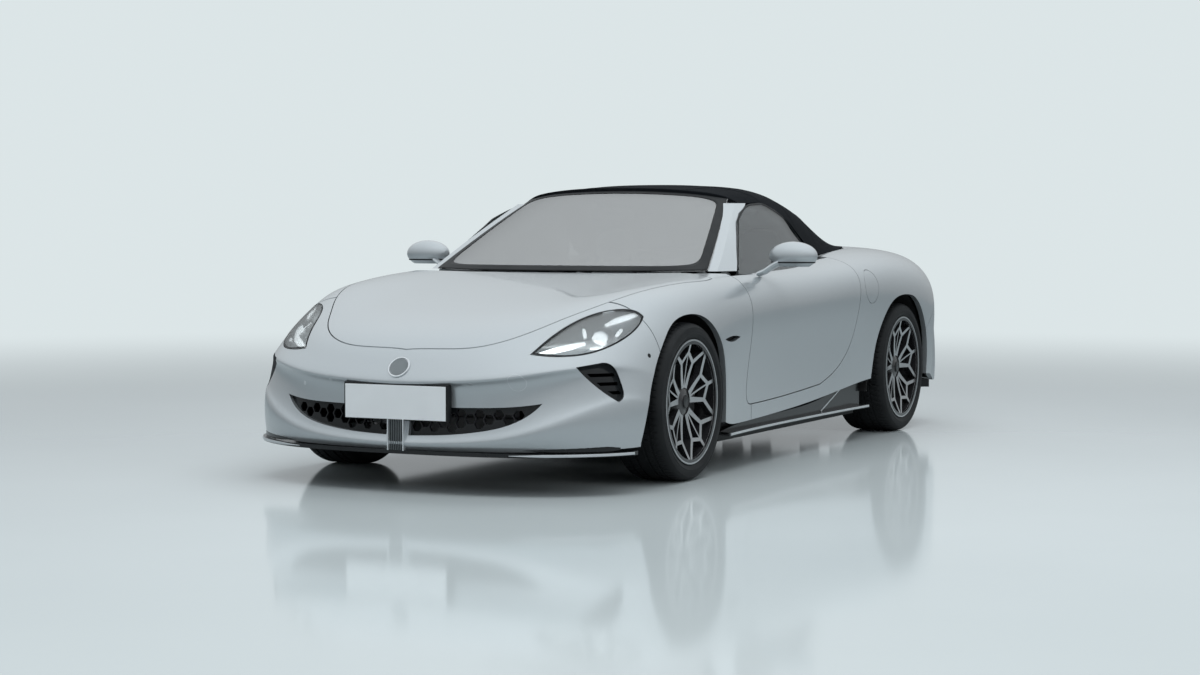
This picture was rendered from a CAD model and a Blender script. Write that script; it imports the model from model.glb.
import math

import bmesh
import bpy
import numpy as np
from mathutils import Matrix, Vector
from mathutils.bvhtree import BVHTree


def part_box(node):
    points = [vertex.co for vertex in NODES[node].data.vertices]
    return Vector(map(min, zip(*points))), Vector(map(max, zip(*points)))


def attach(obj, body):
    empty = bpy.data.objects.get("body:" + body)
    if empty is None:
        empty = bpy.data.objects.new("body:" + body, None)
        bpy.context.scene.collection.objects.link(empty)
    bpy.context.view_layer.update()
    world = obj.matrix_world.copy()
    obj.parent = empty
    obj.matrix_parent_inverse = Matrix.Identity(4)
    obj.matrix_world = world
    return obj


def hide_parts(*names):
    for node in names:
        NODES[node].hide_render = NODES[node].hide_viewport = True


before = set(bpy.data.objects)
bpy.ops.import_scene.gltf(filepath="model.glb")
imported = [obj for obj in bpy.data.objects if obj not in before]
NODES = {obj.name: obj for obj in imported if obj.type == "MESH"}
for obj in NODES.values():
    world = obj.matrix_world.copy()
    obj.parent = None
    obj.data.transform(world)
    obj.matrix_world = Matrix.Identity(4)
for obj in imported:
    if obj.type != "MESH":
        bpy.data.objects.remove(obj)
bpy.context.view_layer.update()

bl_info = {
    "name": "Roadster looks",
    "version": (1, 1, 0),
    "blender": (4, 5, 0),
    "location": "View3D > Sidebar > Roadster",
    "description": "Finishes and fine pieces of an open two-seat car with its fabric roof closed",
    "category": "Object",
}

TAU = 2.0 * math.pi
SIDES = (("left", np.array([1, 1, 1])), ("right", np.array([-1, 1, 1])))
FRONT_AXLE = (0.799, -1.335)
REAR_AXLE = (0.800, 1.355)
WHEEL_RADIUS = 0.340
DISH_RADIUS, DISH_DEPTH = 0.950, 0.042


class RoadsterPaint(bpy.types.PropertyGroup):
    """Finish of the painted panels."""
    base: bpy.props.FloatVectorProperty(name="Paint colour", description="Silver-grey base colour", subtype="COLOR",
                                        size=3, default=(0.395, 0.425, 0.445))
    roughness: bpy.props.FloatProperty(name="Roughness", description="Roughness of the metallic coat", default=0.28)
    flake: bpy.props.FloatProperty(name="Flake size", description="Size of the metal flakes", default=0.0012,
                                   unit="LENGTH")


class RoadsterTrim(bpy.types.PropertyGroup):
    """Sizes of the fine pieces."""
    badge: bpy.props.FloatProperty(name="Badge radius", description="Radius of the bare disc on the nose",
                                   default=0.050, unit="LENGTH")
    plate_width: bpy.props.FloatProperty(name="Plate width", description="Width of the blank plate", default=0.480,
                                         unit="LENGTH")
    plate_height: bpy.props.FloatProperty(name="Plate height", description="Height of the blank plate",
                                          default=0.140, unit="LENGTH")
    groove: bpy.props.FloatProperty(name="Tread depth", description="Depth of the grooves in the tread",
                                    default=0.006, unit="LENGTH")
    band: bpy.props.FloatProperty(name="Glass border", description="Width of the black border of the windscreen",
                                  default=0.036, unit="LENGTH")
    sag: bpy.props.FloatProperty(name="Roof sag", description="Dip of the fabric between its bows", default=0.004,
                                 unit="LENGTH")


class RoadsterStage(bpy.types.PropertyGroup):
    """Camera, floor and lights."""
    lens: bpy.props.FloatProperty(name="Lens", description="Focal length in millimetres", default=68.24)
    camera_x: bpy.props.FloatProperty(name="Camera X", description="Sideways place", default=4.9061, unit="LENGTH")
    camera_y: bpy.props.FloatProperty(name="Camera Y", description="Lengthways place", default=-10.1945,
                                      unit="LENGTH")
    camera_z: bpy.props.FloatProperty(name="Camera Z", description="Height", default=1.1, unit="LENGTH")
    yaw: bpy.props.FloatProperty(name="Yaw", description="Turn of the camera", default=math.radians(26.583),
                                 unit="ROTATION")
    pitch: bpy.props.FloatProperty(name="Pitch", description="Downward tilt", default=math.radians(2.855),
                                   unit="ROTATION")
    key: bpy.props.FloatProperty(name="Key light", description="Power that all four softboxes share", default=420.0)
    sky: bpy.props.FloatProperty(name="Sky", description="Strength of the soft light from all round", default=0.95)
    backdrop: bpy.props.FloatVectorProperty(name="Backdrop", description="Colour of the pale surroundings",
                                            subtype="COLOR", size=3, default=(0.715, 0.785, 0.800))


# Small helpers for shader graphs; near is any node or socket of the graph that a new node joins
def material(name):
    """New material, with its shader and its object coordinates."""
    mat = bpy.data.materials.new(name)
    mat.use_nodes = True
    nodes = mat.node_tree.nodes
    return mat, nodes["Principled BSDF"], nodes.new("ShaderNodeTexCoord").outputs["Object"]


def plug(socket, value):
    """Links a socket to another one, or sets its number or colour."""
    if isinstance(value, bpy.types.NodeSocket):
        socket.id_data.links.new(value, socket)
    else:
        socket.default_value = value


def feed(made, **values):
    """Plugs a node's sockets, named with _ for a space; other names are its own settings."""
    for key, value in values.items():
        socket = made.inputs.get(key.replace("_", " "))
        if socket is None:
            setattr(made, key, value)
        else:
            plug(socket, value)


def node(near, kind, **values):
    made = near.id_data.nodes.new(kind)
    feed(made, **values)
    return made


def ramp(value, low, high, positions=(0.35, 0.65)):
    """Two-colour ramp driven by a value."""
    made = node(value, "ShaderNodeValToRGB", Fac=value)
    for element, position, colour in zip(made.color_ramp.elements, positions, (low, high)):
        element.position = position
        element.color = (*colour, 1.0)
    return made.outputs["Color"]


def bump(shader, height, strength, distance):
    made = node(shader, "ShaderNodeBump", Strength=strength, Distance=distance, Height=height)
    feed(shader, Normal=made.outputs["Normal"])


def noise(vector, scale, detail=2.0):
    return node(vector, "ShaderNodeTexNoise", Vector=vector, Scale=scale, Detail=detail).outputs["Fac"]


def spread(value, **limits):
    """A value carried over from one range to another."""
    return node(value, "ShaderNodeMapRange", Value=value, **limits).outputs["Result"]


def step(operation, *values):
    """One step of arithmetic on sockets or numbers."""
    made = node(values[0], "ShaderNodeMath", operation=operation)
    for socket, value in zip(made.inputs, values):
        plug(socket, value)
    return made.outputs["Value"]


def between(value, low, high, edge):
    """1 where a value lies between two limits, with soft edges."""
    return step("MULTIPLY", spread(value, From_Min=low - edge, From_Max=low + edge),
                spread(value, From_Min=high - edge, From_Max=high + edge, To_Min=1.0, To_Max=0.0))


def mix_shaders(factor, first, second):
    made = node(factor, "ShaderNodeMixShader")
    for socket, value in zip(made.inputs, (factor, first.outputs[0], second.outputs[0])):
        plug(socket, value)
    return made


def grained(name, low, high, roughness, scale=400.0, strength=0.2, **extra):
    """Moulded or cast surface: two close colours in wide blotches, and a fine grain in its gloss and bump."""
    mat, shader, vector = material(name)
    fine = noise(vector, scale)
    feed(shader, Base_Color=ramp(noise(vector, 6.0), low, high, (0.3, 0.7)),
         Roughness=spread(fine, To_Min=roughness - 0.04, To_Max=roughness + 0.05), **extra)
    if strength:
        bump(shader, fine, strength, 0.0002)
    return mat


def paint(name, settings):
    """Metallic paint: flakes tilt the base a little under a smooth clear coat."""
    mat, shader, vector = material(name)
    cells = node(vector, "ShaderNodeTexVoronoi", Vector=vector, Scale=1.0 / settings.flake).outputs["Distance"]
    base = tuple(settings.base)
    lighter = tuple(min(1.0, c * 1.12) for c in base)
    bump(shader, cells, 0.04, 0.0001)
    feed(shader, Base_Color=ramp(cells, base, lighter, (0.1, 0.9)), Metallic=0.7, Roughness=settings.roughness,
         Coat_Weight=0.8, Coat_Roughness=0.04)
    return mat


def glass(name, tint, low, high):
    """Thin glass: see-through, with a smooth skin that reflects from low, seen square, to high, seen edge on."""
    mat, shader, vector = material(name)
    shade = ramp(noise(vector, 1.5), tint, tuple(min(1.0, c * 1.05) for c in tint))
    through = node(vector, "ShaderNodeBsdfTransparent", Color=shade)
    gloss = node(vector, "ShaderNodeBsdfGlossy", Roughness=0.02)
    facing = node(vector, "ShaderNodeFresnel", IOR=1.5).outputs["Fac"]
    surface = mix_shaders(spread(facing, From_Min=0.04, To_Min=low, To_Max=high), through, gloss)
    mat.node_tree.nodes.remove(shader)
    feed(mat.node_tree.nodes["Material Output"], Surface=surface.outputs["Shader"])
    return mat


def glowing(name, low, high, strength):
    """Lit lamp surface: ribbed light guide that glows, under a smooth skin."""
    mat, shader, vector = material(name)
    ribs = node(vector, "ShaderNodeTexWave", Vector=vector, Scale=60.0, Distortion=0.3).outputs["Fac"]
    shade = ramp(ribs, low, high, (0.2, 0.8))
    feed(shader, Base_Color=shade, Emission_Color=shade, Roughness=0.15, Emission_Strength=strength)
    return mat


def woven(name, low, high, pitch):
    """Woven cloth: crossed threads from two wave patterns over soft blotches of wear."""
    mat, shader, vector = material(name)
    cross = step("MULTIPLY", *(node(vector, "ShaderNodeTexWave", Vector=vector, Scale=0.16 / pitch, Distortion=0.6,
                                    bands_direction=way).outputs["Fac"] for way in "XY"))
    worn = step("MULTIPLY", noise(vector, 3.0, 4.0), 0.5)
    bump(shader, cross, 0.5, 0.0004)
    feed(shader, Base_Color=ramp(step("ADD", cross, worn), low, high, (0.1, 1.0)), Roughness=0.85,
         Specular_IOR_Level=0.04)
    return mat


def turned_wheel(name, axle_y, face_x):
    """Wheel finish in black with cut faces: bright where the spokes' front sphere, the flange's rim or
    the hub face lies, steel on the disc inside, told apart by distance from the axle and the dish's centre."""
    mat, shader, vector = material(name)
    split = node(vector, "ShaderNodeSeparateXYZ", Vector=vector)
    side = step("ABSOLUTE", split.outputs["X"])
    along = step("SUBTRACT", split.outputs["Y"], axle_y)
    above = step("SUBTRACT", split.outputs["Z"], WHEEL_RADIUS)
    flat = step("ADD", step("MULTIPLY", along, along), step("MULTIPLY", above, above))
    radius = step("SQRT", flat)
    reach = step("SUBTRACT", side, face_x - DISH_DEPTH + DISH_RADIUS)
    ball = step("SQRT", step("ADD", flat, step("MULTIPLY", reach, reach)))
    cut = step("MULTIPLY", between(ball, DISH_RADIUS - 0.0006, DISH_RADIUS + 0.0006, 0.0002),
               between(radius, 0.060, 0.2475, 0.001))
    lip = step("MULTIPLY", between(radius, 0.2610, 0.2690, 0.0005),
               between(side, face_x - 0.004, face_x + 0.004, 0.0005))
    disc = step("MULTIPLY", between(radius, 0.080, 0.1905, 0.0005),
                between(side, face_x - 0.160, face_x - 0.108, 0.0005))
    metal = step("MAXIMUM", step("MAXIMUM", cut, lip), disc)
    mixed = node(vector, "ShaderNodeMix", data_type="RGBA", Factor=metal)
    plug(mixed.inputs[6], ramp(noise(vector, 8.0), (0.010, 0.010, 0.011), (0.018, 0.018, 0.020)))
    plug(mixed.inputs[7], ramp(noise(radius, 900.0, 1.0), (0.40, 0.41, 0.42), (0.60, 0.61, 0.62)))
    feed(shader, Base_Color=mixed.outputs[2], Metallic=metal, Roughness=spread(metal, To_Min=0.20, To_Max=0.34),
         Coat_Weight=0.3)
    return mat


FINISHES = {}
WORN = {
    "silver": "bonnet fender_left fender_right front_bumper door_left door_right boot_lid quarter_left "
              "quarter_right charge_flap rear_deck rear_bumper windscreen_frame mirror_left mirror_right",
    "gloss_black": "side_skirts front_splitter rear_diffuser side_intakes lower_grille",
    "hidden_black": "inner_body front_tray front_liners rear_liners",
    "matt_black": "boot_tub body_floor front_bulkhead rear_bulkhead",
    "dark_leather": "dashboard console steering_wheel",
    "rubber": "tyre_front_left tyre_front_right tyre_rear_left tyre_rear_right",
    "front_wheel": "wheel_front_left wheel_front_right",
    "rear_wheel": "wheel_rear_left wheel_rear_right",
    "metal": "knuckle_left knuckle_right rear_carriers front_subframe rear_subframe",
    "leather": "seat_left seat_right",
    "cloth": "soft_top",
    "screen": "windscreen_glass",
    "side_glass": "door_glass_left door_glass_right rear_window",
    "bowl": "headlamps",
    "red": "tail_lamps",
}


def finish_with(mat, *names):
    """Gives CAD nodes a finish in every material slot."""
    for name in names:
        obj = NODES[name]
        if not obj.material_slots:
            obj.data.materials.append(mat)
        for used in obj.material_slots:
            used.link = "OBJECT"
            used.material = mat


# Surfaces worked out on grids
def columns(*values):
    """Numbers and arrays of numbers side by side, as the last axis of one array."""
    return np.stack(np.broadcast_arrays(*values), -1)


def squared(value, power):
    """A sine or cosine bent into a superellipse: its sign times its size to the power of 2 / power."""
    return np.sign(value) * np.abs(value) ** (2.0 / power)


def basis(count, t):
    """Weights of the poles of a clamped, evenly spaced cubic at parameters t, by the usual recursion."""
    knots = np.concatenate([np.zeros(3), np.linspace(0.0, 1.0, count - 2), np.ones(3)])[:, None]
    t = np.clip(np.asarray(t, float), 0.0, 1.0 - 1e-9)
    weights = ((t >= knots[:-1]) & (t < knots[1:])).astype(float)
    for degree in (1, 2, 3):
        low, high = knots[:-degree - 1], knots[degree + 1:]
        rise = np.where(knots[degree:-1] > low, knots[degree:-1] - low, 1.0)
        fall = np.where(high > knots[1:-degree], high - knots[1:-degree], 1.0)
        weights = (t - low) / rise * weights[:-1] + (high - t) / fall * weights[1:]
    return weights


def on_patch(poles, u, v):
    """Points and normals of a cubic surface at paired parameters: weighted sums of its poles, and the cross
    product of small differences both ways."""
    poles = np.asarray(poles, float)
    shape = np.shape(u)
    u, v = np.ravel(u), np.ravel(v)

    def place(a, b):
        return np.einsum("it,jt,ijk->tk", basis(poles.shape[0], a), basis(poles.shape[1], b), poles)

    e = 1e-4
    spread_u = place(np.clip(u + e, 0, 1), v) - place(np.clip(u - e, 0, 1), v)
    spread_v = place(u, np.clip(v + e, 0, 1)) - place(u, np.clip(v - e, 0, 1))
    normal = np.cross(spread_u, spread_v)
    normal /= np.maximum(np.linalg.norm(normal, axis=1, keepdims=True), 1e-12)
    return place(u, v).reshape(*shape, 3), normal.reshape(*shape, 3)


def mirrored(rows):
    """Rows from the centre line outwards, carried over to the other side, in metres."""
    rows = np.asarray(rows, float) / 1000.0
    return np.concatenate([rows[:, :0:-1] * SIDES[1][1], rows], axis=1)


def finish_mesh(obj, outward=True):
    """Merges doubles, turns faces outwards on a closed form and smooths them."""
    bm = bmesh.new()
    bm.from_mesh(obj.data)
    bmesh.ops.remove_doubles(bm, verts=bm.verts, dist=1e-6)
    bmesh.ops.dissolve_degenerate(bm, edges=bm.edges, dist=1e-7)
    if outward:
        bmesh.ops.recalc_face_normals(bm, faces=bm.faces)
    bm.to_mesh(obj.data)
    bm.free()
    obj.data.polygons.foreach_set("use_smooth", [True] * len(obj.data.polygons))
    return obj


def mesh_object(name, points, faces, mat):
    """Object at the origin from points and faces; mat names its finish."""
    mesh = bpy.data.meshes.new(name)
    mesh.from_pydata(np.asarray(points).tolist(), [], [list(f) for f in faces])
    mesh.materials.append(FINISHES[mat])
    obj = bpy.data.objects.new(name, mesh)
    bpy.context.scene.collection.objects.link(obj)
    return obj


def grid_faces(rows, wide, wrap_rows=False, wrap_columns=False):
    index = np.arange(rows * wide).reshape(rows, wide)
    if wrap_rows:
        index = np.concatenate([index, index[:1]], 0)
    if wrap_columns:
        index = np.concatenate([index, index[:, :1]], 1)
    return columns(index[:-1, :-1], index[1:, :-1], index[1:, 1:], index[:-1, 1:]).reshape(-1, 4)


def grid_object(name, points, mat, wrap_rows=False, wrap_columns=False, outward=True):
    """Mesh object from a grid of points: rows by columns by XYZ."""
    faces = grid_faces(*points.shape[:2], wrap_rows, wrap_columns)
    return finish_mesh(mesh_object(name, points.reshape(-1, 3), faces, mat), outward)


def sharp(obj, degrees=35.0):
    """Keeps edges that turn more than so many degrees crisp."""
    obj.data.set_sharp_from_angle(angle=math.radians(degrees))
    return obj


def swept(name, path, up, width, height, mat, power=4.0, sides=20, taper=None, closed=False):
    """Rounded bar along a path: a superellipse of the given width and height, squarer with a higher power,
    carried along with its height along up, and tapered by one factor a point."""
    path = np.asarray(path, float)
    up = np.broadcast_to(np.asarray(up, float), path.shape)
    tangent = np.roll(path, -1, 0) - np.roll(path, 1, 0) if closed else np.gradient(path, axis=0)
    tangent /= np.linalg.norm(tangent, axis=1, keepdims=True)
    across = np.cross(tangent, up)
    across /= np.linalg.norm(across, axis=1, keepdims=True)
    upright = np.cross(across, tangent)
    turn = np.linspace(0.0, TAU, sides, endpoint=False)
    size = np.ones((len(path), 1)) if taper is None else np.asarray(taper, float)[:, None]
    points = (path[:, None] + across[:, None] * (squared(np.cos(turn), power) * width / 2 * size)[..., None]
              + upright[:, None] * (squared(np.sin(turn), power) * height / 2 * size)[..., None])
    if not closed:
        points = np.concatenate([np.repeat(path[:1, None], sides, 1), points, np.repeat(path[-1:, None], sides, 1)])
    return sharp(grid_object(name, points, mat, wrap_rows=closed, wrap_columns=True))


def swept_pair(name, path, up, *rest, **more):
    """A swept bar on the left and its mirror image on the right."""
    return [swept(f"{name}_{side}", np.asarray(path) * flip, np.asarray(up) * flip, *rest, **more)
            for side, flip in SIDES]


def revolved(name, profile, origin, axis, mat, steps=48):
    """Turned form: pairs of height along the axis and radius, carried round the axis."""
    axis = np.asarray(axis, float) / np.linalg.norm(axis)
    helper = np.array([0.0, 0.0, 1.0]) if abs(axis[2]) < 0.9 else np.array([1.0, 0.0, 0.0])
    first = np.cross(helper, axis)
    first /= np.linalg.norm(first)
    second = np.cross(axis, first)
    turn = np.linspace(0.0, TAU, steps, endpoint=False)
    ring = np.cos(turn)[:, None] * first + np.sin(turn)[:, None] * second
    profile = np.asarray(profile, float)
    points = np.asarray(origin, float) + profile[:, None, 0:1] * axis + profile[:, None, 1:2] * ring[None]
    return sharp(grid_object(name, points, mat, wrap_columns=True))


def search_tree(name):
    """Search tree over the triangles of a CAD node."""
    mesh = NODES[name].data
    mesh.calc_loop_triangles()
    places = np.empty(len(mesh.vertices) * 3)
    mesh.vertices.foreach_get("co", places)
    corners = np.empty(len(mesh.loop_triangles) * 3, int)
    mesh.loop_triangles.foreach_get("vertices", corners)
    return BVHTree.FromPolygons(places.reshape(-1, 3).tolist(), corners.reshape(-1, 3).tolist())


def touch(tree, origins, direction, lift=0.0):
    """Where rays first meet a surface, raised by lift along its normal; with those normals."""
    places, normals = [], []
    direction = Vector(direction).normalized()
    for origin in np.asarray(origins, float):
        place, normal, _, _ = tree.ray_cast(Vector(origin), direction)
        if place is None:
            continue
        if normal.dot(direction) > 0:
            normal = -normal
        places.append(place + normal * lift)
        normals.append(normal)
    return np.array(places), np.array(normals)


def smooth_line(points, count, unit=1.0):
    """Catmull-Rom line through a few points given in a unit, sampled evenly in its parameter."""
    points = np.asarray(points, float) / unit
    ends = np.concatenate([[2 * points[0] - points[1]], points, [2 * points[-1] - points[-2]]])
    t = np.linspace(0, len(points) - 1 - 1e-9, count)
    k = t.astype(int)
    f = (t - k)[:, None]
    p0, p1, p2, p3 = ends[k], ends[k + 1], ends[k + 2], ends[k + 3]
    return 0.5 * (2 * p1 + (p2 - p0) * f + (2 * p0 - 5 * p1 + 4 * p2 - p3) * f ** 2
                  + (3 * p1 - p0 - 3 * p2 + p3) * f ** 3)


def settle(objects, body="chassis"):
    """Ties pieces to a body and to the material slot that they take their finish from."""
    for obj in objects if isinstance(objects, (list, tuple)) else [objects]:
        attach(obj, body)


class ROADSTER_OT_finishes(bpy.types.Operator):
    """Gives every CAD node its finish."""
    bl_idname = "roadster.finishes"
    bl_label = "Paint the frame"

    def execute(self, context):
        made = {
            "silver": paint("silver_paint", context.scene.roadster_paint),
            "gloss_black": grained("gloss_black", (0.006, 0.007, 0.008), (0.011, 0.012, 0.013), 0.18, strength=0.0,
                                   Specular_IOR_Level=0.35),
            "matt_black": grained("matt_black", (0.006, 0.007, 0.008), (0.012, 0.013, 0.014), 0.5,
                                  Specular_IOR_Level=0.2),
            "hidden_black": grained("hidden_black", (0.004, 0.004, 0.004), (0.008, 0.008, 0.009), 0.8),
            "rubber": grained("rubber", (0.006, 0.007, 0.008), (0.012, 0.013, 0.014), 0.60, scale=250.0,
                              Specular_IOR_Level=0.22),
            "leather": grained("leather", (0.44, 0.45, 0.46), (0.54, 0.55, 0.56), 0.5, scale=700.0, strength=0.4),
            "dark_leather": grained("dark_leather", (0.16, 0.17, 0.175), (0.22, 0.23, 0.235), 0.5, scale=700.0,
                                    strength=0.4),
            "metal": grained("cast_metal", (0.30, 0.30, 0.31), (0.42, 0.42, 0.43), 0.45, scale=180.0, Metallic=1.0),
            "chrome": grained("bright_trim", (0.62, 0.64, 0.66), (0.72, 0.74, 0.76), 0.14, strength=0.02,
                              Metallic=1.0),
            "satin": grained("satin_silver", (0.48, 0.51, 0.53), (0.56, 0.59, 0.61), 0.30, strength=0.05,
                             Metallic=0.6, Coat_Weight=0.4),
            "plate": grained("plate_white", (0.58, 0.61, 0.63), (0.62, 0.65, 0.67), 0.45, scale=90.0, strength=0.05),
            "cloth": woven("roof_cloth", (0.002, 0.003, 0.004), (0.010, 0.011, 0.013), 0.0011),
            "screen": glass("screen_glass", (0.96, 0.975, 0.98), 0.40, 0.95),
            "side_glass": glass("side_glass", (0.88, 0.91, 0.92), 0.09, 0.90),
            "lens": glass("lamp_lens", (0.93, 0.95, 0.96), 0.05, 0.80),
            "mirror": grained("mirror_glass", (0.80, 0.82, 0.83), (0.84, 0.86, 0.87), 0.05, strength=0.0,
                              Metallic=1.0),
            "light": glowing("light_guide", (0.84, 0.91, 0.94), (1.0, 1.0, 1.0), 1.5),
            "bowl": grained("lamp_bowl", (0.10, 0.115, 0.12), (0.20, 0.22, 0.23), 0.30, strength=0.05, Metallic=0.8),
            "red": grained("lamp_red", (0.20, 0.006, 0.006), (0.30, 0.010, 0.010), 0.1, strength=0.0,
                           Coat_Weight=1.0),
            "front_wheel": turned_wheel("front_wheel", FRONT_AXLE[1], 0.916),
            "rear_wheel": turned_wheel("rear_wheel", REAR_AXLE[1], 0.932),
        }
        FINISHES.update(made)
        for name, nodes in WORN.items():
            finish_with(made[name], *nodes.split())
        return {"FINISHED"}


def tyre_section(half):
    """Section of a tyre as width and radius: bead, bulging sidewall with two raised rings, shoulder, flat tread."""
    # Sidewall: how far inside the half width, and the radius, in millimetres
    side = np.array([(12.0, 254.5), (12.0, 270.0), (8.0, 274.5), (3.5, 282.0), (1.2, 290.5), (0.2, 291.5), (0.2, 294.5),
                     (1.2, 295.5), (0.0, 302.0), (2.2, 312.0), (3.0, 318.0), (2.0, 319.0), (3.8, 321.5), (8.0, 326.5),
                     (14.0, 331.5), (22.0, 335.5), (30.0, 338.0)]) / 1000.0
    tread = np.linspace(half - 0.036, 0.0, 34)
    half_section = np.concatenate([columns(np.linspace(0.0, half - 0.012, 6)[:-1], 0.2545),
                                   columns(half - side[:, 0], side[:, 1]),
                                   columns(tread, WHEEL_RADIUS - 0.0012 * (tread / half) ** 2)])
    return np.concatenate([half_section, half_section[::-1][1:-1] * np.array([-1.0, 1.0])])


def tyre(name, x, y, width, groove, mat):
    """Tyre on a grid of turn by section: the tread sinks in four rings and, on both shoulders, in slanted
    cuts, one for each of 72 pitches round the wheel."""
    section = tyre_section(width / 2)
    pitches = 72
    steps = 6 * pitches
    turn = np.linspace(0.0, TAU, steps, endpoint=False)[:, None]
    across = section[None, :, 0]
    radius = np.repeat(section[None, :, 1], steps, 0)
    on_tread = radius > 0.3375
    out = np.abs(across)
    rings = (np.abs(out - 0.026) < 0.0042) | (np.abs(out - 0.062) < 0.0042)
    phase = (turn * pitches / TAU + out * 9.0) % 1.0
    cuts = (phase < 0.18) & (out > 0.068)
    slits = (phase > 0.45) & (phase < 0.62) & (out > 0.031) & (out < 0.058)
    radius = radius - np.where(on_tread & rings, groove, 0.0)
    radius = radius - np.where(on_tread & (cuts | slits) & ~rings, groove * 0.6, 0.0)
    points = columns(x + across, y + radius * np.sin(turn), WHEEL_RADIUS + radius * np.cos(turn))
    return sharp(grid_object(name, points, mat, wrap_rows=True, wrap_columns=True), 30.0)


class ROADSTER_OT_tyres(bpy.types.Operator):
    """Makes the four tyres with their tread, and the caps and bolts of the wheels."""
    bl_idname = "roadster.tyres"
    bl_label = "Make the tyres"

    def execute(self, context):
        groove = context.scene.roadster_trim.groove
        cap = [(-0.004, 0.0), (-0.004, 0.026), (0.002, 0.0275), (0.005, 0.026), (0.0055, 0.022), (0.004, 0.020),
               (0.0045, 0.010), (0.005, 0.0)]
        bolt = [(-0.006, 0.0), (-0.006, 0.0085), (0.002, 0.0085), (0.0035, 0.007), (0.0035, 0.0045), (0.0, 0.004),
                (0.0, 0.0)]
        bolt_circle = 0.052
        for end, (x, y), width in (("front", FRONT_AXLE, 0.245), ("rear", REAR_AXLE, 0.275)):
            for hand, (side, _, _) in SIDES:
                name, body = f"{end}_{hand}", f"wheel_{end[0]}{hand[0]}"
                made = tyre("road_tyre_" + name, side * x, y, width, groove, "rubber")
                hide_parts("tyre_" + name)
                settle(made, body)
                face = x + width / 2 - 0.0055
                fixed = [revolved("wheel_cap_" + name, cap, (side * (face - 0.034), y, WHEEL_RADIUS), (side, 0, 0),
                                  "gloss_black")]
                for k in range(5):
                    turn = TAU * (k + 0.5) / 5
                    place = (side * (face - 0.052), y + bolt_circle * math.sin(turn),
                             WHEEL_RADIUS + bolt_circle * math.cos(turn))
                    fixed.append(revolved(f"wheel_bolt_{name}_{k + 1}", bolt, place, (side, 0, 0), "metal",
                                          18))
                settle(fixed, body)
        return {"FINISHED"}


# Roof: the same poles that the frame's roof is drawn by, in millimetres
ROOF_ROWS = [
    [(0, -212, 1276), (240, -197, 1271), (430, -148, 1255), (540, -92, 1236), (600, -60, 1190)],
    [(0, 150, 1296), (245, 150, 1294), (445, 150, 1276), (565, 150, 1248), (612, 150, 1192)],
    [(0, 430, 1304), (245, 430, 1300), (445, 430, 1276), (570, 430, 1216), (634, 440, 1125)],
    [(0, 700, 1300), (240, 700, 1290), (435, 700, 1246), (570, 690, 1160), (664, 590, 1010)],
    [(0, 970, 1266), (235, 965, 1254), (420, 950, 1206), (556, 915, 1112), (690, 680, 935)],
    [(0, 1220, 1190), (230, 1210, 1174), (405, 1180, 1120), (545, 1130, 1042), (672, 960, 952)],
    [(0, 1420, 1085), (225, 1405, 1068), (390, 1360, 1030), (526, 1300, 992), (640, 1180, 972)],
    [(0, 1570, 990), (215, 1552, 988), (375, 1505, 986), (500, 1430, 984), (598, 1320, 980)],
]
# Upper edge of the side glass, as Y and Z in millimetres
GLASS_TOP = [(-560, 870), (-480, 1000), (-300, 1105), (-93, 1180), (60, 1196), (200, 1192), (430, 1130), (530, 1040),
             (590, 960), (615, 870)]
BOWS = (-0.20, 0.20, 0.62, 1.02)
ROOF_THICK = 0.020
SEAM_THICK, SEAM_LIFT = 0.0024, 0.0004
WINDOW_WIDE, WINDOW_NARROW, WINDOW_LOW, WINDOW_HIGH = 0.345, 0.300, 1.090, 1.215
WINDOW_POWER = 8


def roof_at(u, v, sag, depth=0.0):
    """Roof surface: the poles' cubic surface, pulled in between the bows by sag times the square of a sine,
    less towards the sides, and moved inwards by depth."""
    points, normals = on_patch(mirrored(ROOF_ROWS), u, v)
    normals = normals * np.sign(normals[..., 2].mean())
    y = points[..., 1, None]
    low, high = np.array(BOWS[:-1]), np.array(BOWS[1:])
    phase = np.sum(np.where((y >= low) & (y < high), (y - low) / (high - low), 0.0), -1)
    dip = sag * np.sin(np.pi * phase) ** 2 * np.clip(1.0 - (np.abs(points[..., 0]) / 0.66) ** 2, 0.0, 1.0)
    return points - normals * (depth + dip)[..., None], normals


def roof_reach(u):
    """How far out each row of the roof goes: to the upper edge of the side glass, or to its own end."""
    edge = smooth_line(GLASS_TOP, 240, 1000.0)
    v = np.linspace(0.62, 1.0, 600)
    points, _ = roof_at(*np.meshgrid(u, v, indexing="ij"), 0.0)
    limit = np.interp(points[..., 1], edge[:, 0], edge[:, 1], left=0.0, right=0.0) + 0.007
    inside = (points[..., 2] < limit) & (points[..., 1] < 0.621)
    return v[np.where(inside.any(1), inside.argmax(1), len(v) - 1)]


def window_reach(z):
    """Half width of the rear window at a height."""
    return WINDOW_WIDE + (WINDOW_NARROW - WINDOW_WIDE) * (z - WINDOW_LOW) / (WINDOW_HIGH - WINDOW_LOW)


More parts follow.
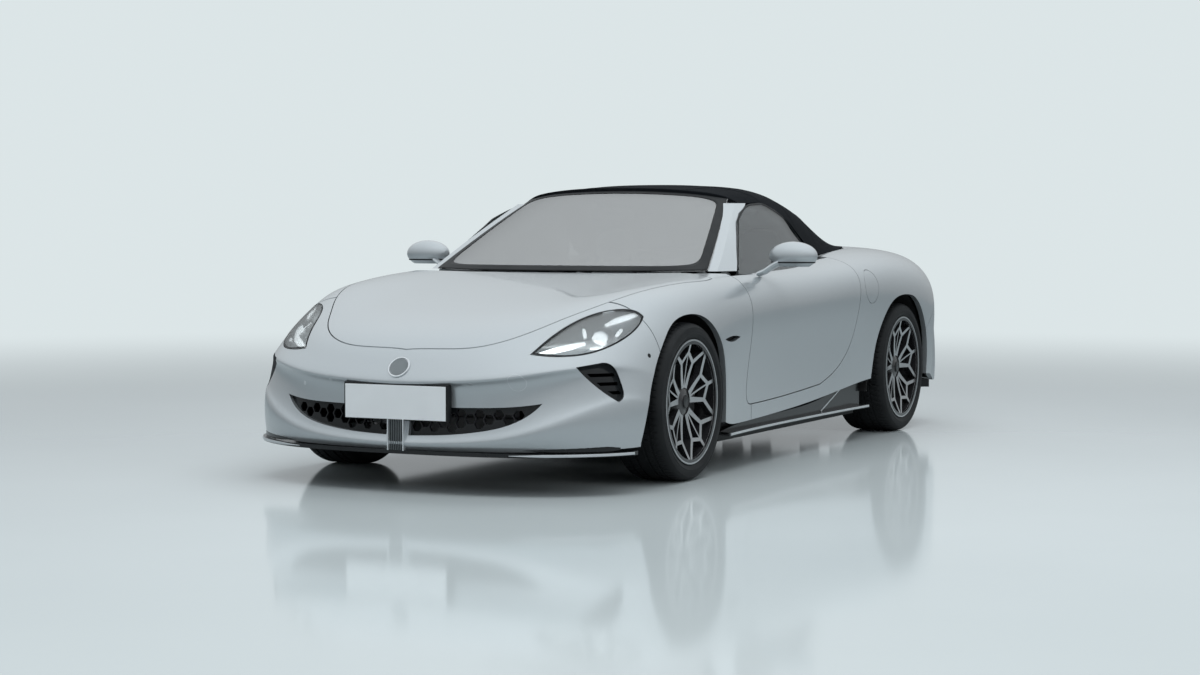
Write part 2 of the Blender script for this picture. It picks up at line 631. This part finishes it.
class ROADSTER_OT_roof(bpy.types.Operator):
    """Makes the fabric roof, its seams, hems and window border."""
    bl_idname = "roadster.roof"
    bl_label = "Make the roof"

    def execute(self, context):
        sag = context.scene.roadster_trim.sag
        cloth = "cloth"
        rows, across = 240, 151
        u = np.linspace(0.0, 1.0, rows)
        reach = roof_reach(u)
        v = 0.5 + np.linspace(-1.0, 1.0, across)[None] * (reach[:, None] - 0.5)
        grid_u = np.repeat(u[:, None], across, 1)
        outer = roof_at(grid_u, v, sag)[0].reshape(-1, 3)
        inner = roof_at(grid_u, v, sag, ROOF_THICK)[0].reshape(-1, 3)
        faces = grid_faces(rows, across)
        middle = outer[faces].mean(1)
        mid, rise = (WINDOW_LOW + WINDOW_HIGH) / 2, (WINDOW_HIGH - WINDOW_LOW) / 2
        lean = ((np.abs(middle[:, 0]) / window_reach(middle[:, 2])) ** WINDOW_POWER
                + (np.abs(middle[:, 2] - mid) / rise) ** WINDOW_POWER)
        kept = faces[~((middle[:, 1] > 1.0) & (lean < 0.95))]
        # Edges with one face only are the rim, and get a wall between the outer and the inner side
        count = rows * across
        edges = np.concatenate([kept[:, [k, (k + 1) % 4]] for k in range(4)])
        _, first, times = np.unique(np.sort(edges, 1) @ np.array([count, 1]), return_index=True, return_counts=True)
        start, end = edges[first[times == 1]].T
        all_faces = np.concatenate([kept, kept[:, ::-1] + count, columns(end, start, start + count, end + count)])
        used, remap = np.unique(all_faces, return_inverse=True)
        roof = mesh_object("fabric_roof", np.concatenate([outer, inner])[used], remap.reshape(all_faces.shape), cloth)
        sharp(finish_mesh(roof), 40.0)
        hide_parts("soft_top")

        # Seams over the bows and lengthways, and the hem at the windscreen
        pieces = []
        middle_y = roof_at(u, np.full_like(u, 0.5), 0.0)[0][:, 1]
        for k, (bow, width) in enumerate(((0.20, 0.010), (0.62, 0.012), (1.02, 0.012))):
            line_u = np.full(60, np.interp(bow, middle_y, u))
            line_v = 0.5 + np.linspace(-0.985, 0.985, 60) * (np.interp(line_u, u, reach) - 0.5)
            line, up = roof_at(line_u, line_v, sag, -SEAM_LIFT)
            pieces.append(swept(f"roof_seam_{k + 1}", line, up, width, SEAM_THICK, cloth))
        for side, place in (("right", 0.5 - 0.235), ("left", 0.5 + 0.235)):
            line, up = roof_at(np.linspace(0.02, 0.68, 80), np.full(80, place), sag, -SEAM_LIFT)
            pieces.append(swept("roof_long_seam_" + side, line, up, 0.012, SEAM_THICK, cloth))
        line, up = roof_at(np.full(80, 0.004), 0.5 + np.linspace(-0.99, 0.99, 80) * (reach[0] - 0.5), sag, 0.004)
        pieces.append(swept("roof_front_hem", line, up, 0.020, 0.012, cloth))

        # Window border: the hole's outline at even distances, shot forwards onto the roof
        turn = np.linspace(0.0, TAU, 400, endpoint=False)
        z = mid + rise * squared(np.sin(turn), WINDOW_POWER)
        loop = columns(window_reach(z) * squared(np.cos(turn), WINDOW_POWER), z)
        loop = np.concatenate([loop, loop[:1]])
        length = np.concatenate([[0], np.cumsum(np.linalg.norm(np.diff(loop, axis=0), axis=1))])
        even = np.linspace(0, length[-1], 120, endpoint=False)
        x, z = (np.interp(even, length, loop[:, k]) for k in (0, 1))
        places, ups = touch(BVHTree.FromPolygons(outer.tolist(), faces.tolist()), columns(x, 3.0, z), (0, -1, 0))
        pieces.append(swept("rear_window_border", places + ups * 0.002, ups, 0.034, 0.016, cloth, closed=True))
        settle([roof, *pieces])
        return {"FINISHED"}


# Outline of a lamp in millimetres: its upper edge from front to rear, and its lower edge back again
LAMP_TOP = [(545, -2096, 573), (626, -1874, 696), (694, -1747, 737), (735, -1700, 745), (802, -1646, 735),
            (828, -1642, 716)]
LAMP_LOW = [(828, -1642, 716), (834, -1692, 683), (826, -1777, 642), (788, -1895, 597), (725, -1990, 569),
            (645, -2054, 563), (545, -2096, 573)]


def islands(bm):
    """Connected parts of a mesh, as lists of vertices in their own order."""
    bm.verts.index_update()
    bm.faces.index_update()
    seen = set()
    for start in bm.verts:
        if start in seen:
            continue
        group = fresh = {start}
        while fresh:
            fresh = {edge.other_vert(vert) for vert in fresh for edge in vert.link_edges} - group
            group = group | fresh
        seen |= group
        yield sorted(group, key=lambda vert: vert.index)


class ROADSTER_OT_lamps(bpy.types.Operator):
    """Parts the lamps into clear lens and bright bowl, and adds the light guides and projectors."""
    bl_idname = "roadster.lamps"
    bl_label = "Make the lamps"

    def execute(self, context):
        bm = bmesh.new()
        bm.from_mesh(NODES["headlamps"].data)
        bmesh.ops.remove_doubles(bm, verts=bm.verts, dist=1e-6)
        for island in islands(bm):
            index = {vert: k for k, vert in enumerate(island)}
            points = np.array([vert.co[:] for vert in island])
            faces = sorted({face for vert in island for face in vert.link_faces}, key=lambda face: face.index)
            side = "left" if points[:, 0].mean() > 0 else "right"
            kind = "bowl" if points[:, 1].max() > -1.610 and points[:, 2].min() < 0.545 else "lens"
            obj = mesh_object(f"lamp_{kind}_{side}", points, [[index[v] for v in f.verts] for f in faces], kind)
            sharp(finish_mesh(obj), 30.0)
            settle(obj)
            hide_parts("headlamps")
        bm.free()

        # Light guides and facets lie behind the lens, where rays against its outward direction meet it
        skin = search_tree("headlamps")
        aim = np.array([0.45, -0.62, 0.64])
        aim /= np.linalg.norm(aim)

        def light_bars(name, path, lift, taper):
            places, ups = touch(skin, path + aim * 0.2, -aim, lift)
            settle(swept_pair(name, places, ups, 0.032, 0.006, "light", power=3.0,
                              taper=taper(np.linspace(0, 1, len(places)))))

        for name, line, size in (
                ("low", [(568, -2080, 580), (620, -2040, 592), (668, -1992, 606), (712, -1944, 622)],
                 [0.25, 0.9, 1.0, 0.55]),
                ("high", [(738, -1812, 690), (765, -1755, 712), (790, -1700, 726), (808, -1650, 733)],
                 [0.45, 1.0, 0.9, 0.5])):
            light_bars("light_guide_" + name, smooth_line(line, 40, 1000.0), -0.010,
                       lambda share: np.interp(share, np.linspace(0, 1, 4), size))
        for name, spot, along in (("inner", (0.690, -1.905, 0.668), (0.022, -0.030, -0.022)),
                                  ("outer", (0.800, -1.800, 0.668), (0.006, 0.030, 0.026)),
                                  ("under", (0.755, -1.922, 0.602), (0.032, 0.030, 0.006))):
            path = np.array(spot) + np.linspace(-0.7, 0.7, 14)[:, None] * np.array(along)
            light_bars("lamp_facet_" + name, path, -0.014,
                       lambda share: 0.35 + 0.15 * np.cos(1.4 * (2 * share - 1)))
        loop = np.concatenate([smooth_line(line, 40, 1000.0)[:-1] for line in (LAMP_TOP, LAMP_LOW)])
        loop = loop.mean(0) + (loop - loop.mean(0)) * 0.985
        places, ups = touch(skin, loop + aim * 0.2, -aim, -0.0008)
        settle(swept_pair("lamp_rim", places, ups, 0.006, 0.003, "matt_black", closed=True, sides=10))

        # Projector: half an ellipsoid in a ring, sunk behind the lens
        centre = np.array([0.747, -1.880, 0.642]) - aim * 0.027
        axis = np.array([0.38, -0.80, 0.46])
        ball_radius, ball_height = 0.0340, 0.013
        t = np.linspace(math.pi / 2, 0, 10)
        ball = [(-0.004, 0.0), (-0.004, ball_radius), *columns(ball_height * np.cos(t), ball_radius * np.sin(t))]
        bezel = [(-0.006, 0.0345), (-0.006, 0.0415), (0.002, 0.0425), (0.004, 0.041), (0.004, 0.038),
                 (0.001, 0.0355), (-0.006, 0.0345)]
        for side, flip in SIDES:
            settle([revolved("projector_" + side, ball, centre * flip, axis * flip, "light"),
                    revolved("projector_ring_" + side, bezel, centre * flip, axis * flip, "chrome")])
        return {"FINISHED"}


class ROADSTER_OT_nose(bpy.types.Operator):
    """Makes the plate with its bracket, the bare badge, the sensors, the towing cap and the fins of the strut."""
    bl_idname = "roadster.nose"
    bl_label = "Make the nose trim"

    def execute(self, context):
        trim = context.scene.roadster_trim
        skin = search_tree("front_bumper")
        front = (0, -1, 0)
        wide, high = trim.plate_width, trim.plate_height
        middle = 0.372
        plate_power = 14.0
        plate = swept("blank_plate", columns(np.linspace(-wide / 2, wide / 2, 40), -2.2655, middle), front, high,
                      0.0022, "plate", power=plate_power, sides=48)
        turn = np.linspace(0, TAU, 120, endpoint=False)
        rim = columns(squared(np.cos(turn), plate_power) * (wide / 2 - 0.005), -2.2661,
                      middle + squared(np.sin(turn), plate_power) * (high / 2 - 0.005))
        border = swept("plate_border", rim, front, 0.004, 0.0012, "plate", closed=True, sides=10)
        back = columns(np.linspace(-wide / 2 - 0.006, wide / 2 + 0.012, 40), -2.2520, middle + 0.002)
        bracket = swept("plate_bracket", back, front, high + 0.012, 0.0245, "matt_black", power=10.0,
                        sides=48)
        settle([plate, border, bracket])

        places, ups = touch(skin, [(0.0, -2.6, 0.513)], (0, 1, 0))
        radius = trim.badge
        disc = [(-0.004, 0.0), (-0.004, radius), (0.003, radius), (0.0055, radius - 0.002),
                (0.0055, radius - 0.0065), (0.0025, radius - 0.008), (0.0028, radius * 0.4), (0.003, 0.0)]
        field = [(0.001, 0.0), (0.001, radius - 0.009), (0.0034, radius - 0.009), (0.0042, radius * 0.5), (0.0045, 0.0)]
        settle([revolved("bare_badge", disc, places[0], ups[0], "chrome", 72),
                revolved("bare_badge_field", field, places[0], ups[0], "bowl", 72)])

        # Distance sensors: where a ray towards the bumper starts, its direction, and the sides that have one
        button = [(-0.003, 0.0), (-0.003, 0.0095), (0.0004, 0.0095), (0.0010, 0.0088), (0.0008, 0.0070),
                  (0.0012, 0.0)]
        spots = [((1.493, -1.724, 0.558), (-1, 0, 0), SIDES), ((0.335, -2.70, 0.452), (0, 1, 0), SIDES),
                 ((0.500, -2.69, 0.430), (0, 1, 0), SIDES[1:])]
        for k, (spot, direction, sides) in enumerate(spots):
            for side, flip in sides:
                places, ups = touch(skin, [np.array(spot) * flip], np.array(direction) * flip)
                settle(revolved(f"distance_sensor_{k + 1}_{side}", button, places[0], ups[0],
                                "satin" if k else "matt_black", 28))

        turn = np.linspace(0, TAU, 90, endpoint=False)
        circle = columns(0.520 + 0.034 * np.cos(turn), -2.6, 0.462 + 0.034 * np.sin(turn))
        places, ups = touch(skin, circle, (0, 1, 0), 0.0002)
        settle(swept("towing_cap_ring", places, ups, 0.0022, 0.0012, "satin", closed=True, sides=8))

        fins = [swept(f"strut_fin_{k + 1}", columns(x, -2.2532, np.linspace(0.176, 0.302, 18)), front, 0.0036, 0.024,
                      "bowl", power=6.0, sides=16) for k, x in enumerate(np.linspace(-0.026, 0.026, 7))]
        z = np.linspace(0.174, 0.304, 18)
        fins.append(swept("strut_panel", columns(0.0, -2.2568, z), front, 0.064, 0.010, "gloss_black",
                          power=8.0, sides=24))
        fins += swept_pair("strut_edge", columns(0.0365, -2.2525, z), front, 0.007, 0.028, "satin",
                           power=6.0, sides=20)
        settle(fins)
        return {"FINISHED"}


# Windscreen and side glass: the same poles that the frame's glass is drawn by, in millimetres
SCREEN_ROWS = [
    [(0, -893, 884), (330, -868, 884), (580, -800, 886), (712, -716, 890)],
    [(0, -680, 1022), (310, -660, 1020), (540, -600, 1010), (668, -520, 996)],
    [(0, -440, 1162), (280, -422, 1157), (480, -370, 1142), (602, -300, 1117)],
    [(0, -215, 1262), (250, -200, 1257), (430, -152, 1243), (540, -92, 1222)],
]
GLASS_ROWS = [
    [(816, -600, 840), (818, -200, 840), (806, 150, 840), (775, 420, 840), (722, 660, 840)],
    [(764, -520, 950), (766, -200, 950), (752, 150, 950), (722, 400, 950), (684, 620, 950)],
    [(694, -320, 1080), (694, -100, 1080), (684, 150, 1080), (658, 370, 1080), (626, 560, 1080)],
    [(612, -140, 1215), (612, 0, 1215), (604, 150, 1215), (584, 330, 1215), (556, 520, 1215)],
]


class ROADSTER_OT_glazing(bpy.types.Operator):
    """Makes the black border of the windscreen, the seals of the side glass and the mirrors' glass."""
    bl_idname = "roadster.glazing"
    bl_label = "Make the glass trim"

    def execute(self, context):
        black = "matt_black"
        # Border: the windscreen's own edge, blended inwards to a rounded rectangle, in the surface's parameters
        band = context.scene.roadster_trim.band
        side, low, high = band / 1.25, band * 1.3 / 0.80, band * 0.9 / 0.80
        t = np.linspace(0, 1, 60, endpoint=False)
        outer = np.concatenate([columns(0.0, t), columns(t, 1.0), columns(1.0, 1 - t), columns(1 - t, 0.0)])
        centre = np.array([0.5 + (low - high) / 2, 0.5])
        half = np.array([0.5 - (low + high) / 2, 0.5 - side])
        lean = (outer - 0.5) * 2
        inner = centre + lean / (np.abs(lean) ** 14).sum(1, keepdims=True) ** (1 / 14.0) * half
        share = np.linspace(0, 1, 5)[None, :, None]
        pairs = np.clip(outer[:, None] * (1 - share) + inner[:, None] * share, 0.002, 0.998)
        points, normals = on_patch(mirrored(SCREEN_ROWS), pairs[..., 0], pairs[..., 1])
        normals = -normals * np.sign(normals[..., 1].mean())
        shell = np.concatenate([points + normals * 0.0010, (points + normals * 0.0002)[:, ::-1]], 1)
        settle(grid_object("windscreen_border", shell, black, wrap_rows=True, wrap_columns=True))

        # Side glass: its upper edge and the belt line, found on the glass surface by rays from outside
        edge = smooth_line(GLASS_TOP, 120, 1000.0)
        count = 160
        share = np.linspace(0, 1, count)
        places, _ = on_patch(np.array(GLASS_ROWS, float) / 1000.0, *np.meshgrid(share, share, indexing="ij"))
        sheet = BVHTree.FromPolygons(places.reshape(-1, 3).tolist(), grid_faces(count, count).tolist())
        line, ups = touch(sheet, columns(1.6, edge[:, 0], edge[:, 1]), (-1, 0, 0), -0.0015)
        line, ups = line[line[:, 2] > 0.884], ups[line[:, 2] > 0.884]
        belt, _ = touch(sheet, columns(1.6, np.linspace(-0.545, 0.600, 60), 0.893), (-1, 0, 0), 0.004)
        # Mirror: an oval glass on the flat rear of the head, and a parting line some way below its middle
        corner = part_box("mirror_left")[1]
        head_height, below = 0.066, 0.030
        head = np.array([corner[0] - 0.118, corner[1] - 0.030, corner[2] - head_height])
        turn = np.linspace(0, TAU, 48, endpoint=False)
        ring = np.linspace(0, 1, 6)[:, None]
        face = columns(head[0] + ring * 0.094 * np.cos(turn), corner[1] + 0.001,
                       head[2] + 0.002 + ring * (0.046 * np.sin(turn)))
        mirror_glass = np.concatenate([face, (face + np.array([0, -0.003, 0]))[::-1]])
        sweep = np.linspace(math.radians(-28), math.radians(208), 60)
        level = math.sqrt(1 - (below / head_height) ** 2)
        head_line = columns(head[0] + 0.1185 * level * np.cos(sweep), head[1] - 0.0665 * level * np.sin(sweep),
                            head[2] - below)
        for name, flip in SIDES:
            ground, _ = touch(search_tree("door_" + name), (belt + np.array([0.006, 0, 0.25])) * flip, (0, 0, -1),
                              0.001)
            settle([swept("glass_edge_" + name, line * flip, ups * flip, 0.010, 0.008, black),
                    swept("belt_seal_" + name, ground, (0, 0, 1), 0.016, 0.010, black),
                    swept("mirror_line_" + name, head_line * flip, (0, 0, 1), 0.004, 0.007, black),
                    grid_object("mirror_glass_" + name, mirror_glass * flip, "mirror", wrap_columns=True)],
                   "door_" + name)
        path = columns(np.linspace(-0.115, 0.115, 30), -0.232 + 0.010 * np.cos(np.linspace(-1.2, 1.2, 30)), 1.150)
        inside = swept("inside_mirror", path, (0, 0.25, 1), 0.026, 0.062, black, power=3.2)
        stalk = swept("inside_mirror_stalk", smooth_line([(0.0, -0.232, 1.165), (0.0, -0.262, 1.195),
                                                          (0.0, -0.262, 1.222)], 20),
                      (1, 0, 0), 0.020, 0.016, black, power=2.2)
        settle([inside, stalk])
        return {"FINISHED"}


def padded_form(name, centre, size, mat, lean=0.0, power=(3.0, 3.2), crown=0.0, channels=0):
    """Stuffed form: a superellipsoid of half sizes, squarer with higher powers, crowned on its front side,
    pinched into sewn channels across it, and leant back by so many degrees about the X axis."""
    a = np.linspace(-math.pi / 2, math.pi / 2, 60)[:, None]
    b = np.linspace(0, TAU, 96, endpoint=False)[None]
    x = squared(np.cos(a), power[0]) * squared(np.cos(b), power[1])
    y = squared(np.cos(a), power[0]) * squared(np.sin(b), power[1])
    z = squared(np.sin(a), power[0]) + 0 * b
    high, deep = z * size[2], y * size[1] - crown * (1 - x ** 2) * (1 - z ** 2) * (y < 0)
    if channels:
        wave = np.abs(np.sin(z * math.pi * channels / 2)) ** 0.35
        deep = deep + 0.006 * (1 - wave) * (y < 0) * (1 - np.abs(x) ** 6)
    c, s = math.cos(math.radians(lean)), math.sin(math.radians(lean))
    points = columns(x * size[0], deep * c - high * s, deep * s + high * c) + np.array(centre)
    return grid_object(name, points, mat, wrap_columns=True)


class ROADSTER_OT_seats(bpy.types.Operator):
    """Makes both seats: cushions, bolsters, head rest and rear shells."""
    bl_idname = "roadster.seats"
    bl_label = "Make the seats"

    def execute(self, context):
        # Centre, half sizes, lean in degrees and number of sewn channels
        forms = {
            "cushion": ((0.415, 0.090, 0.345), (0.150, 0.055, 0.265), 96, 5),
            "cushion_bolster_in": ((0.228, 0.090, 0.352), (0.046, 0.060, 0.262), 96, 0),
            "cushion_bolster_out": ((0.602, 0.090, 0.352), (0.046, 0.060, 0.262), 96, 0),
            "back": ((0.415, 0.548, 0.640), (0.140, 0.052, 0.300), -15, 6),
            "back_bolster_in": ((0.238, 0.520, 0.600), (0.048, 0.070, 0.260), -15, 0),
            "back_bolster_out": ((0.592, 0.520, 0.600), (0.048, 0.070, 0.260), -15, 0),
            "head": ((0.415, 0.616, 0.990), (0.105, 0.040, 0.085), -8, 0),
        }
        for name, flip in SIDES:
            made = [padded_form(f"seat_{part}_{name}", np.array(centre) * flip, size, "leather", lean,
                                crown=0.012 if channels else 0.004, channels=channels)
                    for part, (centre, size, lean, channels) in forms.items()]
            made += [padded_form("seat_shell_" + name, np.array([0.415, 0.592, 0.630]) * flip, (0.222, 0.034, 0.330),
                                 "matt_black", -15, power=(6.0, 4.0)),
                     padded_form("seat_base_" + name, np.array([0.415, 0.110, 0.268]) * flip, (0.205, 0.270, 0.030),
                                 "matt_black", 0, power=(5.0, 8.0))]
            for piece in made:
                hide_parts("seat_" + name)
            settle(made)
        return {"FINISHED"}


class ROADSTER_OT_edges(bpy.types.Operator):
    """Makes the bright edges of the splitter and skirts and the dark slots above the splitter's ends."""
    bl_idname = "roadster.edges"
    bl_label = "Make the edge trims"

    def execute(self, context):
        # Lines in plan, moved out and shot back at the piece that they run along
        up = (0, 0, 1)
        low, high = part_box("front_splitter")
        level = (low[2] + high[2]) / 2
        out = np.array([0.55, -0.84, 0.0])
        run = smooth_line([(0.500, -2.212), (0.640, -2.154), (0.765, -2.068), (0.850, -1.978), (0.903, -1.882)], 60)
        places, _ = touch(search_tree("front_splitter"), columns(*run.T, level) + out * 0.3, -out, 0.0005)
        settle(swept_pair("splitter_edge", places, up, 0.005, 0.011, "satin", power=5.0,
                          taper=np.interp(np.arange(len(places)), [0, 14], [0.2, 1.0])))

        run = smooth_line([(0.560, -2.20), (0.680, -2.14), (0.790, -2.05), (0.870, -1.94)], 50)
        places, _ = touch(search_tree("front_bumper"), columns(*run.T, level + 0.022) + out * 0.3, -out, -0.001)
        taper = np.interp(np.linspace(0, 1, len(places)), [0, 0.3, 0.85, 1], [0.15, 0.9, 1.0, 0.5])
        settle(swept_pair("splitter_slot", places, up, 0.006, 0.026, "gloss_black", taper=taper))

        rise = smooth_line([(0.873, 0.300, 0.178), (0.873, 0.560, 0.269), (0.873, 0.690, 0.323)], 30)
        settle(swept_pair("fin_edge", rise, up, 0.003, 0.007, "satin", power=5.0))
        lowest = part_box("side_skirts")[0][2]
        places, _ = touch(search_tree("side_skirts"), columns(1.3, np.linspace(-0.945, 0.845, 90), lowest + 0.008),
                          (-1, 0, 0), 0.0004)
        settle(swept_pair("skirt_edge", places, up, 0.004, 0.010, "satin", power=5.0))
        return {"FINISHED"}


class ROADSTER_OT_stage(bpy.types.Operator):
    """Sets the camera, the pale floor that fades into the surroundings, and the soft lights."""
    bl_idname = "roadster.stage"
    bl_label = "Set the stage"

    def execute(self, context):
        settings = context.scene.roadster_stage
        data = bpy.data.cameras.new("camera")
        data.lens = settings.lens
        data.sensor_width = 36.0
        data.clip_end = 200.0
        camera = bpy.data.objects.new("camera", data)
        camera.location = (settings.camera_x, settings.camera_y, settings.camera_z)
        camera.rotation_euler = (math.pi / 2 - settings.pitch, 0.0, settings.yaw)
        context.scene.collection.objects.link(camera)
        context.scene.camera = camera

        # Floor: the camera sees a glossy one that fades into the backdrop, light meets a dull darker one
        mat, shader, vector = material("studio_floor")
        FINISHES["floor"] = mat
        feed(shader, Base_Color=ramp(noise(vector, 0.5, 3.0), (0.44, 0.49, 0.505), (0.46, 0.51, 0.525)),
             Roughness=0.09, Specular_IOR_Level=0.5)
        away = node(vector, "ShaderNodeVectorMath", operation="LENGTH")
        plug(away.inputs[0], vector)
        fade = spread(away.outputs["Value"], From_Min=3.5, From_Max=13.0, interpolation_type="SMOOTHSTEP")
        glow = node(vector, "ShaderNodeEmission", Color=(*settings.backdrop, 1.0), Strength=1.0)
        seen = node(vector, "ShaderNodeLightPath").outputs["Is Camera Ray"]
        dim = node(vector, "ShaderNodeBsdfDiffuse", Color=(0.29, 0.32, 0.33, 1.0))
        surface = mix_shaders(step("MULTIPLY", fade, seen), mix_shaders(seen, dim, shader), glow)
        feed(mat.node_tree.nodes["Material Output"], Surface=surface.outputs["Shader"])
        radius = np.concatenate([[0.0], np.linspace(1.0, 60.0, 30)])[:, None]
        turn = np.linspace(0, TAU, 96, endpoint=False)[None]
        floor = grid_object("studio_floor", columns(radius * np.cos(turn), radius * np.sin(turn), 0.0), "floor",
                            wrap_columns=True, outward=False)

        # World: a sky that brightens upwards for the light, and the plain backdrop where it is seen directly
        world = bpy.data.worlds.new("studio")
        world.use_nodes = True
        back = world.node_tree.nodes["Background"]
        toward = node(back, "ShaderNodeTexCoord").outputs["Generated"]
        height = node(back, "ShaderNodeSeparateXYZ", Vector=toward).outputs["Z"]
        sky = node(back, "ShaderNodeValToRGB", Fac=spread(height, From_Min=-1.0, From_Max=1.0))
        stops = [(0.0, 0.20), (0.46, 0.28), (0.52, 0.44), (0.64, 0.66), (0.80, 0.94), (1.0, 1.14)]
        for position, _ in stops[1:-1]:
            sky.color_ramp.elements.new(position)
        for element, (position, value) in zip(sky.color_ramp.elements, stops):
            element.position = position
            element.color = (value * 0.94, value, value * 1.03, 1.0)
        feed(back, Color=sky.outputs["Color"], Strength=settings.sky)
        plain = node(back, "ShaderNodeBackground", Color=(*settings.backdrop, 1.0), Strength=1.0)
        path = node(back, "ShaderNodeLightPath")
        direct = step("MAXIMUM", path.outputs["Is Camera Ray"], path.outputs["Is Transmission Ray"])
        feed(world.node_tree.nodes["World Output"], Surface=mix_shaders(direct, back, plain).outputs["Shader"])
        context.scene.world = world

        for name, place, size, share, aim in (
                ("overhead_front", (1.2, -2.6, 5.6), (6.0, 2.4), 0.5, (0.0, -0.8, 0.6)),
                ("overhead_rear", (0.0, 2.0, 5.8), (5.0, 3.0), 0.4, (0.0, 0.6, 0.6)),
                ("side", (7.0, -2.0, 4.2), (4.0, 3.0), 0.25, (0.0, 0.0, 0.6)),
                ("front", (3.0, -9.0, 3.6), (5.0, 3.0), 0.24, (0.0, -1.5, 0.6))):
            lamp = bpy.data.lights.new(name, "AREA")
            lamp.shape = "RECTANGLE"
            lamp.size, lamp.size_y = size
            lamp.energy = settings.key * share
            obj = bpy.data.objects.new(name, lamp)
            obj.location = place
            obj.rotation_euler = (Vector(aim) - Vector(place)).to_track_quat("-Z", "Y").to_euler()
            obj.visible_glossy = False
            obj.visible_camera = False
            context.scene.collection.objects.link(obj)
        context.scene.view_settings.view_transform = "Standard"
        return {"FINISHED"}


class ROADSTER_PT_panel(bpy.types.Panel):
    """Sidebar panel with the settings and a button for each group."""
    bl_idname = "ROADSTER_PT_panel"
    bl_label = "Roadster"
    bl_space_type = "VIEW_3D"
    bl_region_type = "UI"
    bl_category = "Roadster"

    def draw(self, context):
        for group in GROUPS:
            settings = getattr(context.scene, group)
            for key in settings.__annotations__:
                self.layout.prop(settings, key)
        for operator in OPERATORS:
            self.layout.operator(operator.bl_idname)


OPERATORS = [ROADSTER_OT_finishes, ROADSTER_OT_tyres, ROADSTER_OT_roof, ROADSTER_OT_lamps, ROADSTER_OT_nose,
             ROADSTER_OT_glazing, ROADSTER_OT_seats, ROADSTER_OT_edges, ROADSTER_OT_stage]
GROUPS = {"roadster_paint": RoadsterPaint, "roadster_trim": RoadsterTrim, "roadster_stage": RoadsterStage}


def register():
    for cls in [*GROUPS.values(), *OPERATORS, ROADSTER_PT_panel]:
        bpy.utils.register_class(cls)
    for name, group in GROUPS.items():
        setattr(bpy.types.Scene, name, bpy.props.PointerProperty(type=group))


def unregister():
    for name in GROUPS:
        delattr(bpy.types.Scene, name)
    for cls in reversed([*GROUPS.values(), *OPERATORS, ROADSTER_PT_panel]):
        bpy.utils.unregister_class(cls)


def main():
    register()
    for operator in OPERATORS:
        group, name = operator.bl_idname.split(".")
        getattr(getattr(bpy.ops, group), name)()


if __name__ == "__main__":
    main()
